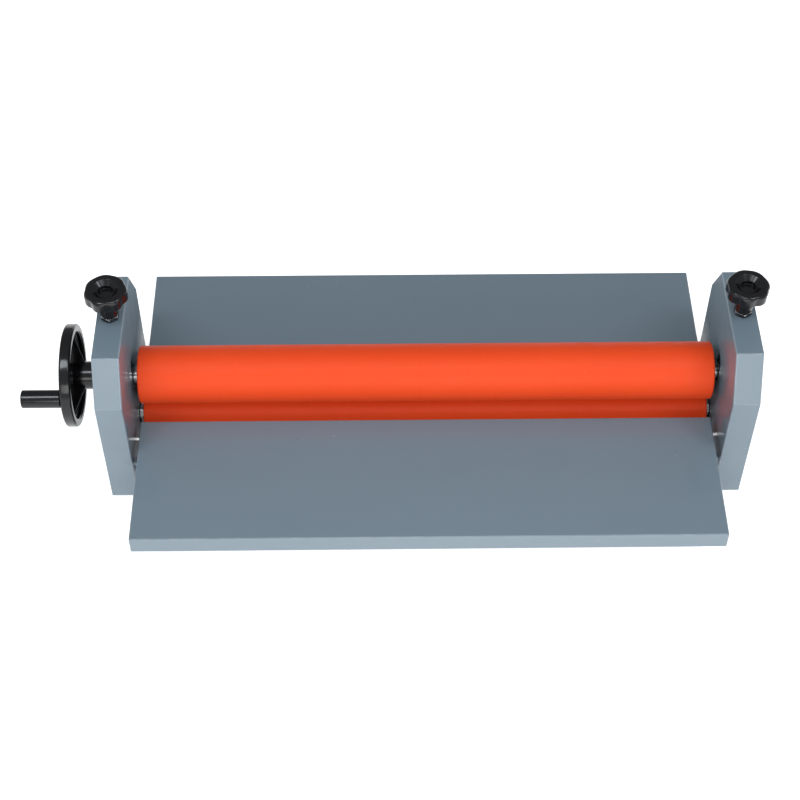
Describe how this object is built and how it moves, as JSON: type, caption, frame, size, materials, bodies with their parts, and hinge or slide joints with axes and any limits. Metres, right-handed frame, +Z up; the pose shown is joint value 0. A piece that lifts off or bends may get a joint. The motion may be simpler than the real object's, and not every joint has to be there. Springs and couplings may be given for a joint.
{
  "type": "cold roll laminator",
  "caption": "Hand-cranked cold roll laminator: rubber-covered rollers in two six-sided housings, star knobs that set the nip, a crank handwheel, and folding feed and exit tables.",
  "frame": {"origin": "centre of the bounding box in plan, on the surface that the feet stand on", "axes": "+X along the rollers, from the handwheel side to the other side; +Y from the front (feed) table to the rear table; +Z up"},
  "size_m": [0.8482, 0.405, 0.2625],
  "materials": {
    "grey_paint": "semi-gloss blue-grey paint",
    "roller_rubber": "satin orange-red silicone rubber",
    "black_bakelite": "glossy black phenolic moulding",
    "bright_steel": "turned and plated steel",
    "dark_steel": "black oxide steel",
    "cast_block": "machined cast iron",
    "foot_rubber": "matt black rubber"
  },
  "bodies": {
    "frame": {"left_side_frame": "grey_paint", "left_outer_cover": "grey_paint", "left_cover_screw_lower_front": "bright_steel", "left_cover_screw_lower_rear": "bright_steel", "left_cover_screw_upper_front": "bright_steel", "left_cover_screw_upper_rear": "bright_steel", "left_front_foot": "foot_rubber", "left_rear_foot": "foot_rubber", "left_front_table_pivot": "bright_steel", "left_rear_table_pivot": "bright_steel", "left_front_tie_bolt": "dark_steel", "left_rear_tie_bolt": "dark_steel", "left_pressure_nut": "dark_steel", "left_lower_bearing_block": "cast_block", "left_lower_bearing": "bright_steel", "left_lift_spring": "bright_steel", "right_side_frame": "grey_paint", "right_outer_cover": "grey_paint", "right_cover_screw_lower_front": "bright_steel", "right_cover_screw_lower_rear": "bright_steel", "right_cover_screw_upper_front": "bright_steel", "right_cover_screw_upper_rear": "bright_steel", "right_front_foot": "foot_rubber", "right_rear_foot": "foot_rubber", "right_front_table_pivot": "bright_steel", "right_rear_table_pivot": "bright_steel", "right_front_tie_bolt": "dark_steel", "right_rear_tie_bolt": "dark_steel", "right_pressure_nut": "dark_steel", "right_lower_bearing_block": "cast_block", "right_lower_bearing": "bright_steel", "right_lift_spring": "bright_steel", "front_tie_bar": "grey_paint", "rear_tie_bar": "grey_paint"},
    "nip_carriage": {"left_upper_bearing_block": "cast_block", "left_upper_bearing": "bright_steel", "right_upper_bearing_block": "cast_block", "right_upper_bearing": "bright_steel"},
    "upper_roller": {"upper_roller_sleeve": "roller_rubber", "upper_roller_tube": "bright_steel", "left_upper_journal": "bright_steel", "right_upper_journal": "bright_steel", "handwheel": "black_bakelite", "handwheel_bush": "bright_steel", "handwheel_set_screw": "dark_steel", "crank_bolt": "bright_steel"},
    "crank_handle": {"crank_grip": "black_bakelite"},
    "lower_roller": {"lower_roller_sleeve": "roller_rubber", "lower_roller_tube": "bright_steel", "left_lower_journal": "bright_steel", "right_lower_journal": "bright_steel"},
    "left_knob": {"left_pressure_knob": "black_bakelite", "left_pressure_stud": "bright_steel"},
    "right_knob": {"right_pressure_knob": "black_bakelite", "right_pressure_stud": "bright_steel"},
    "front_table_leaf": {"front_table": "grey_paint"},
    "rear_table_leaf": {"rear_table": "grey_paint"}
  },
  "joints": [
    {"name": "nip_lift", "type": "slide", "parent": "frame", "child": "nip_carriage", "axis": [0, 0, 1], "range_m": [0, 0.015], "deforming": ["left_lift_spring", "right_lift_spring"]},
    {"name": "left_knob_turn", "type": "hinge", "parent": "nip_carriage", "child": "left_knob", "pos_m": [-0.316, 0.01, 0.2163], "axis": [0, 0, 1], "range_deg": [0, 3086]},
    {"name": "right_knob_turn", "type": "hinge", "parent": "nip_carriage", "child": "right_knob", "pos_m": [0.3997, 0.01, 0.2163], "axis": [0, 0, 1], "range_deg": [0, 3086]},
    {"name": "upper_roller_turn", "type": "hinge", "parent": "nip_carriage", "child": "upper_roller", "pos_m": [0.04186, 0.01, 0.1154], "axis": [1, 0, 0], "continuous": true},
    {"name": "crank_handle_turn", "type": "hinge", "parent": "upper_roller", "child": "crank_handle", "pos_m": [-0.4014, -0.03753, 0.12921], "axis": [1, 0, 0], "continuous": true},
    {"name": "lower_roller_turn", "type": "hinge", "parent": "frame", "child": "lower_roller", "pos_m": [0.04186, 0.01, 0.047], "axis": [1, 0, 0], "continuous": true},
    {"name": "front_table_fold", "type": "hinge", "parent": "frame", "child": "front_table_leaf", "pos_m": [0.04186, -0.051, 0.0714], "axis": [-1, 0, 0], "range_deg": [0, 90]},
    {"name": "rear_table_fold", "type": "hinge", "parent": "frame", "child": "rear_table_leaf", "pos_m": [0.04186, 0.071, 0.0714], "axis": [1, 0, 0], "range_deg": [0, 90]}
  ],
  "couplings": [
    {"joint": "left_knob_turn", "follows": "nip_lift", "rad_per_m": 3590.4},
    {"joint": "right_knob_turn", "follows": "nip_lift", "rad_per_m": 3590.4},
    {"joint": "lower_roller_turn", "follows": "upper_roller_turn", "ratio": -1}
  ]
}
